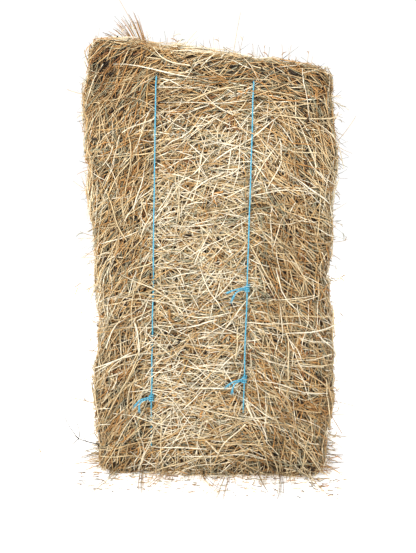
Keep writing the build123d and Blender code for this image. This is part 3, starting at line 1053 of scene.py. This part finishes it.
def on_front(side, height):
    """A point of the twine on the front; it sinks into the hay outside the shown stretch."""
    below = smooth(SHOWN[0] - height, 0, FADE)
    above = smooth(height - SHOWN[1], 0, FADE)
    overgrown = 0.0
    if side < 0:
        low_stretch = smooth(height, 180 * MM, 205 * MM) * smooth(440 * MM - height, 0, FADE)
        overgrown = 0.75 * low_stretch * smooth(noise.noise(Vector((0.5, 2.0, height * 17.0))), -0.25, 0.1)
    sway = 1.1 * MM * noise.noise(Vector((side * 3.0, 0.0, height * 13.0)))
    y = FRONT_Y + HIDDEN_SINK * max(below, above, overgrown)
    return Vector((twine_x(side, height) + sway, y, height))


def front_run(side, low, high):
    """Points up the front, close enough to follow the hay."""
    steps = max(2, round((high - low) / (16 * MM)))
    return [on_front(side, low + (high - low) * step / steps) for step in range(steps + 1)]


def corner(side, centre_y, centre_z, start):
    """A quarter turn over one edge of the bale, from this angle in degrees down by 90."""
    points = []
    for step in range(7):
        angle = math.radians(start - 15 * step)
        z = centre_z + BEND * math.sin(angle)
        points.append(Vector((twine_x(side, z), centre_y + BEND * math.cos(angle), z)))
    return points


def twine_route(side, start, end):
    """Up the front from a knot, over the top, down the back, under the foot and up to a knot."""
    high = top_height(twine_x(side, LENGTH)) - TOP_SINK - BEND
    low = FOOT_RISE + BEND
    near, far = FRONT_Y + HIDDEN_SINK + BEND, BACK_Y - BEND
    round_the_back = corner(side, near, high, 180) + corner(side, far, high, 90)
    round_the_back += corner(side, far, low, 0) + corner(side, near, low, 270)
    return front_run(side, start, high - FADE / 2) + round_the_back + front_run(side, low + FADE / 2, end)


twine_routes = {
    "twine_left": twine_route(-1, KNOTS["knot_left"][1], KNOTS["knot_left"][1]),
    "twine_right_run": twine_route(1, KNOTS["knot_right_upper"][1], KNOTS["knot_right_lower"][1]),
    "twine_right_between_knots": front_run(1, KNOTS["knot_right_lower"][1], KNOTS["knot_right_upper"][1]),
}
for node, route in twine_routes.items():
    finish_piece(strands(f"laid_{node}", [route]), "twine", node)
    print(node, len(route), "points")

# %% [markdown]
# ## Knots and tails
#
# Each knot is two strands side by side, three turns wrapped round them, and the doubled strand that both cut
# ends leave. An end hangs as a limp cord a few centimetres long, and its cut end is frayed into fine fibres.

# %% Knots
HEEL_WAY = Vector((-math.cos(math.radians(45)), -math.sin(math.radians(45)), 0))
HEEL_LENGTH = 12 * MM
PAIR_GAP = 1.55 * MM
TWINE_UP = Vector((math.sin(LEAN), 0, math.cos(LEAN)))
WRAP_TURNS = 3
WRAP_REACH = 4.3 * MM
WRAP_RISE = 12.6 * MM
WRAP_STEPS = 36


def knot_routes(centre):
    """Lines of one knot: a twisted pair, the wraps, and the doubled strand of the heel."""
    out_way = Vector((0, -1, 0))
    side_way = TWINE_UP.cross(out_way).normalized()

    def around(angle):
        return side_way * math.cos(angle) + out_way * math.sin(angle)

    routes = []
    for start in (0, math.pi):
        pair = []
        for step in range(7):
            share = step / 3 - 1
            off = around(start + 1.3 * share) * PAIR_GAP * (1 - 0.5 * abs(share))
            pair.append(centre + TWINE_UP * (8.5 * MM * share) + off)
        routes.append(pair)
    wraps = []
    for step in range(WRAP_STEPS + 1):
        share = step / WRAP_STEPS
        angle = math.tau * WRAP_TURNS * share
        rise = WRAP_RISE * (share - 0.5) + 1.3 * MM * math.sin(angle + 0.8)
        wraps.append(centre + TWINE_UP * rise + around(angle) * WRAP_REACH)
    routes.append(wraps)
    for sign in (1, -1):
        gap = Vector((0, 0, sign * PAIR_GAP))
        routes.append([centre + gap + HEEL_WAY * HEEL_LENGTH * share for share in (0.0, 0.35, 0.7, 1.02)])
    return routes


knot_centres = {}
for node, (side, height) in KNOTS.items():
    knot_centres[node] = Vector((twine_x(side, height), FRONT_Y, height))
    piece = strands(f"tied_{node}", knot_routes(knot_centres[node]), step=1.2 * MM, pitch=12 * MM)
    finish_piece(piece, "twine", node)
print("knots at", {node: [round(v, 3) for v in centre] for node, centre in knot_centres.items()})

# %% Tails and their frayed ends
TAIL_STEPS = {
    "tail_left_a": ("knot_left", 31.4, [(-7, -7, 0), (-16, -9, -5), (-22, -8, -15)]),
    "tail_left_b": ("knot_left", 31.6, [(-7, -7, 0), (-13, -10, -7), (-13, -9, -20)]),
    "tail_lower_a": ("knot_right_lower", 32.4, [(-7, -7, 0), (-17, -9, -4), (-26, -8, -12)]),
    "tail_lower_b": ("knot_right_lower", 31.4, [(-7, -7, 0), (-13, -10, -8), (-14, -9, -20)]),
    "tail_upper_a": ("knot_right_upper", 34.1, [(-7, -7, 0), (-18, -9, -3), (-30, -8, -8)]),
    "tail_upper_b": ("knot_right_upper", 33.2, [(-7, -7, 0), (-15, -10, -7), (-20, -9, -19)]),
}
FIBRES = 46


def line_points(line):
    """Points along a curve, as its own plain mesh gives them."""
    graph = bpy.context.evaluated_depsgraph_get()
    mesh = bpy.data.meshes.new_from_object(line.evaluated_get(graph))
    points = [vertex.co.copy() for vertex in mesh.vertices]
    bpy.data.meshes.remove(mesh)
    return points


def frayed(points, draw):
    """Lines and thicknesses of fine fibres that open out from the last third of a tail."""
    routes, radii = [], []
    for _ in range(FIBRES):
        place = draw.randrange(len(points) * 2 // 3, len(points) - 1)
        tip, way = points[place], (points[place + 1] - points[place]).normalized()
        spread = Vector((draw.uniform(-1, 1), draw.uniform(-0.7, 0.4), draw.uniform(-1, 0.6)))
        reach = draw.uniform(5, 11) * MM
        start = tip - way * draw.uniform(1, 4) * MM + spread * 0.5 * MM
        middle = start + way * reach * 0.5 + spread * 0.9 * MM
        end = start + way * reach + spread * draw.uniform(1.5, 4.2) * MM
        routes.append([start, middle, end])
        radii.append([1.0, 0.9, 0.5])
    return routes, radii


draw = random.Random(11)
for node, (knot, length, steps) in TAIL_STEPS.items():
    sign = 1 if node.endswith("_a") else -1
    start = knot_centres[knot] + HEEL_WAY * HEEL_LENGTH + Vector((0, 0, sign * PAIR_GAP))
    route = [start] + [start + Vector(step) * MM for step in steps]
    line = line_object(node + " line", [route])
    points = line_points(line)
    add_tree(line, twisted_strands, material=blue_twine, step=1.2 * MM, pitch=14 * MM)
    piece = finish_piece(made_real(line, f"limp_{node}"), "twine", node)
    routes, radii = frayed(points, draw)
    fray = strands(
        f"fray_{node}", routes, radii,
        strands=1, spread=0.0, strand_radius=0.2 * MM, step=1.5 * MM, sides=4,
    )
    finish_piece(fray, "twine")
print(len(TAIL_STEPS), "tails")

# %% [markdown]
# ## Stray stalks
#
# No bale is tidy. Stems stick out of every side, a tuft stands up at the upper left, a dry twig is caught near
# the foot, and chaff lies round it. These stalks follow the routes of the model's own loose stalks; a tree
# gives each one joints, a taper and a slight wander, and some carry a narrow leaf.

# %% Tree of a stray stalk
STRAY_INPUTS = {
    "Step": 4 * MM, "Wander": 1.2 * MM, "Joint gap": 34 * MM, "Flatness": 0.7, "Pale": 0.7, "Spread": 0.5,
    "Seed": 1, "Material": "Material",
}


def stray_tree():
    """Stalks along drawn lines, with a wander, joints and their own tone."""
    tree, graph, given = new_tree("Stray stalks", STRAY_INPUTS)
    even = graph.geometry("ResampleCurve", {"Curve": given["Geometry"], "Length": given["Step"]}, mode="LENGTH")
    factor, length = graph.values("GeometryNodeSplineParameter", ("Factor", "Length"))
    drift = graph.value("ShaderNodeTexNoise", {"Scale": 45.0, "Detail": 1.0}, "Color")
    shift = graph.scaled(graph.vector("SUBTRACT", drift, (0.5, 0.5, 0.5)), given["Wander"])
    place = graph.vector("ADD", graph.geometry("InputPosition"), shift)
    lifted = graph.vector("MAXIMUM", place, (-1.0, -1.0, 1.4 * MM))
    bent = graph.geometry("SetPosition", {"Geometry": even, "Position": lifted})
    chance = graph.random(0.0, 1.0, given["Seed"], graph.geometry("CurveOfPoint", output="Curve Index"))
    wave = graph.math("FRACT", chance + length / given["Joint gap"])
    joint = graph.remap(abs(wave - 0.5), 0.0, 0.06, 1.35, 1.0)
    size = joint * MM * graph.geometry("InputRadius")
    tone = given["Pale"] + (chance - 0.5) * given["Spread"]
    mapped = thickened(graph, bent, size, (palette_strip(graph, tone), factor), given["Flatness"], 5)
    graph.give("Geometry", graph.finished(mapped, given["Material"]))
    return tree


stray_stalks = stray_tree()
print("stray tree of", len(stray_stalks.nodes), "nodes")

# %% Where stray stalks start, in millimetres
STEM, FINE, TWIG = 1.2, 0.8, 1.5
ROOT_DEPTH = 26
FLOOR_GAP = 0.2
FOOT_HEIGHT = 8
HALF_WIDTH, HALF_DEPTH, FULL_LENGTH = WIDTH / MM / 2, DEPTH / MM / 2, LENGTH / MM


def left_root(along, up):
    return Vector((ROOT_DEPTH - HALF_WIDTH, along * HALF_DEPTH, up * FULL_LENGTH))


def right_root(along, up):
    return Vector((HALF_WIDTH - ROOT_DEPTH, along * HALF_DEPTH, up * FULL_LENGTH))


def front_root(x, height):
    return Vector((x, ROOT_DEPTH - HALF_DEPTH, height))


def back_root(across, up):
    return Vector((across * HALF_WIDTH, HALF_DEPTH - ROOT_DEPTH, up * FULL_LENGTH))


def top_root(across, along):
    x = across * HALF_WIDTH
    return Vector((x, along * HALF_DEPTH, top_height(x * MM) / MM - ROOT_DEPTH))


def rooted(root_of, rows):
    """Stalks as a root, steps from it and half a thickness; a row begins with what root_of reads."""
    return [(root_of(*row[:-2]), *row[-2:]) for row in rows]


def standing_off(side, rows):
    """Stalks that leave a side near the floor; their steps give heights above the floor."""
    stalks = []
    for along, height, steps, thick in rows:
        root = Vector((side * (HALF_WIDTH - ROOT_DEPTH), along * HALF_DEPTH, height))
        stalks.append((root, [(side * x, y, thick + FLOOR_GAP + z - height) for x, y, z in steps], thick))
    return stalks


def on_floor(rows):
    """Stalks that leave the foot of the front and come down to the floor."""
    stalks = []
    for across, steps in rows:
        root = front_root(across * HALF_WIDTH, FOOT_HEIGHT + STEM + FLOOR_GAP)
        stalks.append((root, [(x, y, z - FOOT_HEIGHT) for x, y, z in steps], STEM))
    return stalks


# %% Routes of the stray stalks, in millimetres
LOOSE = {
    "loose_stalks_top": rooted(top_root, [
        (0.16, -0.55, [(10, -6, 60), (19, -10, 106)], FINE),
        (-0.53, -0.60, [(-22, -12, 62), (-50, -22, 108)], FINE),
        (-0.36, -0.40, [(-8, 4, 38), (-12, 6, 66)], FINE),
        (-0.30, -0.70, [(26, -8, 40), (44, -10, 54)], FINE),
        (0.04, -0.50, [(-14, -6, 56)], FINE),
        (0.46, -0.35, [(6, -4, 58)], FINE),
        (0.62, 0.30, [(16, 10, 48), (34, 14, 60)], FINE),
        (-0.10, 0.45, [(-20, 16, 58)], FINE),
        (-0.20, -0.20, [(-40, -20, 40)], STEM),
        (0.30, 0.10, [(46, 6, 38)], STEM),
        (-0.55, 0.40, [(-34, 8, 46)], STEM),
    ]),
    "tuft_top_left": rooted(top_root, [
        (-0.56, -0.62, [(-22, -8, 52), (-40, -14, 72)], STEM),
        (-0.59, -0.58, [(-30, -6, 44), (-52, -10, 56)], STEM),
        (-0.62, -0.66, [(-34, -12, 38), (-60, -20, 44)], STEM),
        (-0.54, -0.50, [(-18, 4, 54), (-30, 6, 78)], STEM),
        (-0.58, -0.45, [(-26, 6, 50), (-44, 10, 70)], STEM),
        (-0.64, -0.52, [(-40, 2, 36), (-66, 4, 42)], STEM),
        (-0.51, -0.68, [(-14, -12, 52), (-24, -18, 76)], STEM),
        (-0.66, -0.60, [(-42, -10, 30), (-62, -14, 30)], STEM),
    ]),
    "loose_stalks_left": rooted(left_root, [
        (-0.70, 0.520, [(-66, -6, 4)], FINE),
        (-0.62, 0.560, [(-34, -6, -40), (-78, -16, -124)], FINE),
        (-0.60, 0.650, [(-40, -6, 24), (-68, -8, 46)], FINE),
        (-0.40, 0.760, [(-58, -4, -20)], FINE),
        (-0.66, 0.860, [(-54, -10, 6)], FINE),
        (0.20, 0.400, [(-50, 6, 20), (-70, 10, 18)], FINE),
        (0.45, 0.700, [(-44, 10, -34)], FINE),
        (-0.75, 0.250, [(-62, -8, -30)], STEM),
        (-0.55, 0.330, [(-48, -4, -46)], STEM),
        (0.05, 0.600, [(-54, -4, 22)], STEM),
    ]),
    "loose_stalks_right": rooted(right_root, [
        (-0.60, 0.760, [(42, -6, 26), (72, -8, 78)], FINE),
        (-0.50, 0.880, [(50, -4, -22)], FINE),
        (-0.66, 0.470, [(105, -12, 14)], FINE),
        (-0.58, 0.440, [(36, -4, 16), (76, -8, 50)], FINE),
        (0.10, 0.620, [(60, 6, 26)], FINE),
        (0.40, 0.350, [(46, 8, -12), (66, 12, -34)], FINE),
        (-0.30, 0.560, [(50, 0, -8), (70, 4, 2)], FINE),
        (-0.55, 0.345, [(38, -6, -22), (42, -8, -66), (34, -6, -108), (52, -8, -150)], STEM),
        (-0.74, 0.205, [(30, -6, -34), (58, -12, -84)], STEM),
        (0.15, 0.500, [(54, 2, 8)], STEM),
    ]),
    "loose_stalks_back": rooted(back_root, [
        (-0.55, 0.900, [(-16, 50, 22), (-34, 76, 14)], FINE),
        (0.50, 0.820, [(20, 58, 10)], FINE),
        (0.05, 0.720, [(-10, 70, 12)], FINE),
        (-0.62, 0.300, [(-12, 60, -16)], FINE),
        (0.44, 0.240, [(14, 48, 8), (30, 72, -4)], FINE),
        (-0.08, 0.120, [(6, 66, -10)], FINE),
    ]),
    "loose_stalks_base_left": standing_off(-1, [
        (-0.70, 122.0, [(95, -8, 146)], STEM),
        (-0.58, 96.0, [(58, -6, 120)], FINE),
        (-0.72, 16.0, [(60, -20, 7), (112, -30, 10), (182, -36, 78)], FINE),
        (-0.50, 30.0, [(60, -14, 24), (96, -18, 4)], FINE),
        (0.10, 24.0, [(64, 6, 12)], STEM),
    ]),
    "loose_stalks_base_right": standing_off(1, [
        (-0.66, 150.0, [(48, -8, 146), (92, -10, 132)], FINE),
        (-0.48, 178.0, [(74, -4, 174)], FINE),
        (-0.60, 74.0, [(72, -8, 66)], STEM),
        (-0.72, 30.0, [(40, -14, 10), (60, -22, 0)], STEM),
        (0.20, 22.0, [(66, 10, 8)], STEM),
    ]),
    "loose_stalks_floor": on_floor([
        (-0.78, [(-12, -60, 2), (-34, -112, 0)]),
        (-0.60, [(10, -100, 0)]),
        (-0.34, [(-26, -92, 0)]),
        (-0.10, [(20, -70, 1), (50, -104, 0)]),
        (0.16, [(-16, -118, 0)]),
        (0.40, [(24, -88, 0)]),
        (0.60, [(6, -62, 2), (-6, -120, 0)]),
        (0.84, [(30, -96, 0)]),
    ]),
}

# %% Making the stray stalks
TWIG_FOOT = left_root(-0.66, 0.045)
TWIG_FORK = TWIG_FOOT + Vector((-66, -12, 18))
TWIG_ROUTES = [
    (TWIG_FOOT, [(-40, -8, 6), (-66, -12, 18)], TWIG),
    (TWIG_FORK, [(-22, -4, 26), (-34, -6, 70)], FINE),
    (TWIG_FORK, [(8, -2, 22), (-14, -4, 58)], FINE),
    (TWIG_FORK, [(-24, -6, -20)], FINE),
    (TWIG_FORK, [(-14, -2, 12), (-32, -4, 26)], 0.6),
    (TWIG_FOOT + Vector((-50, -9, 10)), [(-8, -6, 14), (-6, -8, 34)], 0.6),
]
LEAF_CHANCE = 0.3
LEAF_FLOOR = 25


def taper(count, thick):
    """Half the thickness at each point, thinner towards the tip."""
    return [thick * (1 - 0.55 * index / (count - 1)) for index in range(count)]


def leaf_on(route, draw):
    """A narrow leaf that leaves the last run of a stalk."""
    start = route[-2].lerp(route[-1], draw.uniform(0.3, 0.7))
    way = (route[-1] - route[-2]).normalized()
    aside = Matrix.Rotation(draw.uniform(0, math.tau), 3, way) @ way.orthogonal().normalized()
    reach = draw.uniform(8, 20)
    middle = start + way * reach * 0.5 + aside * reach * 0.25
    return [start, middle, middle + way * reach * 0.1 + aside * reach * 0.45 - Vector((0, 0, reach * 0.15))]


def stray_piece(name, stalks, draw, leaf_chance, **values):
    """One piece of stray stalks; each stalk is a root, its steps from the root, and half its thickness."""
    routes, radii = [], []
    for root, steps, thick in stalks:
        route = [root] + [root + Vector(step) for step in steps]
        routes.append(route)
        radii.append(taper(len(route), thick))
        if draw.random() < leaf_chance and route[-1].z > LEAF_FLOOR:
            routes.append(leaf_on(route, draw))
            radii.append([0.6, 1.3, 0.3])
    line = line_object(name + " line", [[point * MM for point in route] for route in routes], radii)
    add_tree(line, stray_stalks, material=dry_hay, **values)
    return made_real(line, name)


def fringe(root_of, spans, out, count, draw):
    """Short ends that stick out all over one side; spans are the ranges of what root_of reads."""
    ends = []
    for _ in range(count):
        reach = ROOT_DEPTH + 6 + 36 * draw.random() ** 1.5
        lean = Vector((draw.uniform(-12, 12), draw.uniform(-8, 8), draw.uniform(-34, 14)))
        lean -= out * lean.dot(out)
        steps = [tuple(out * reach * 0.7 + lean * 0.3), tuple(out * reach + lean)]
        ends.append((root_of(*[draw.uniform(*span) for span in spans]), steps, draw.uniform(0.35, 0.95)))
    return ends


def fan(stalks, copies, draw):
    """Thinner stalks round each of these, so a few routes make a tuft."""
    added = []
    for root, steps, thick in stalks:
        for _ in range(copies):
            off = Vector((draw.uniform(-9, 9), draw.uniform(-9, 9), draw.uniform(-9, 6)))
            moved = [tuple(Vector(step) + off * (number + 1) / len(steps)) for number, step in enumerate(steps)]
            added.append((root + off * 0.5, moved, thick * draw.uniform(0.35, 0.75)))
    return added


def chaff(count, draw):
    """Short bits that lie on the floor round the foot."""
    bits = []
    for _ in range(count):
        thick = draw.uniform(0.4, 1.1)
        root = Vector((draw.uniform(-255, 265), -172 - 90 * draw.random() ** 2.2, thick + 0.4))
        angle = draw.uniform(0, math.pi)
        reach = draw.uniform(5, 22)
        way = Vector((math.cos(angle), 0.5 * math.sin(angle), 0)) * reach
        bow = Vector((-way.y, way.x, 0)) * draw.uniform(-0.2, 0.2)
        bits.append((root, [tuple(way * 0.5 + bow), tuple(way)], thick))
    return bits


LEFT, RIGHT, FRONT, BACK, UP = (Vector(way) for way in (
    (-1, 0, 0), (1, 0, 0), (0, -1, 0), (0, 1, 0), (0, 0, 1),
))
MIDDLE = (-0.85, 0.85)
FRINGES = {
    "loose_stalks_left": (left_root, (MIDDLE, (0.06, 0.97)), LEFT, 260),
    "loose_stalks_right": (right_root, (MIDDLE, (0.06, 0.93)), RIGHT, 240),
    "loose_stalks_back": (back_root, (MIDDLE, (0.06, 0.93)), BACK, 90),
    "loose_stalks_top": (top_root, (MIDDLE, (-0.8, 0.8)), UP, 110),
}
FOOT = ((-0.9, 0.9), (0.01, 0.04))
FOOT_FRINGES = [
    (front_root, ((-215, 215), (6, 34)), FRONT, 220), (left_root, FOOT, LEFT, 220),
    (right_root, FOOT, RIGHT, 220), (back_root, FOOT, BACK, 220),
]

draw = random.Random(29)
for node, fringed in FRINGES.items():
    LOOSE[node] += fringe(*fringed, draw)
LOOSE["tuft_top_left"] += fan(LOOSE["tuft_top_left"], 7, draw)
LOOSE["loose_stalks_floor"] += fan(LOOSE["loose_stalks_floor"], 5, draw) + chaff(420, draw)
for fringed in FOOT_FRINGES:
    LOOSE["loose_stalks_floor"] += fringe(*fringed, draw)

TONES = {"tuft_top_left": (0.42, 0.3), "loose_stalks_floor": (0.5, 0.8)}
for number, (node, stalks) in enumerate(sorted(LOOSE.items())):
    pale, spread = TONES.get(node, (0.68, 0.6))
    piece = stray_piece(f"stray_{node}", stalks, draw, LEAF_CHANCE, pale=pale, spread=spread, seed=number)
    finish_piece(piece, "stalk", node)
TWIG_LOOK = dict(pale=0.08, spread=0.12, joint_gap=14 * MM, flatness=0.95)
finish_piece(stray_piece("stray_twig", TWIG_ROUTES, draw, 0.0, **TWIG_LOOK), "stalk", "twig_base_left")
print(sum(len(stalks) for stalks in LOOSE.values()), "stray stalks")

# %% [markdown]
# ## Finish
#
# The skin was only there for the stalks to lie on, so it goes.

# %% Finish
bpy.data.objects.remove(skin_object)
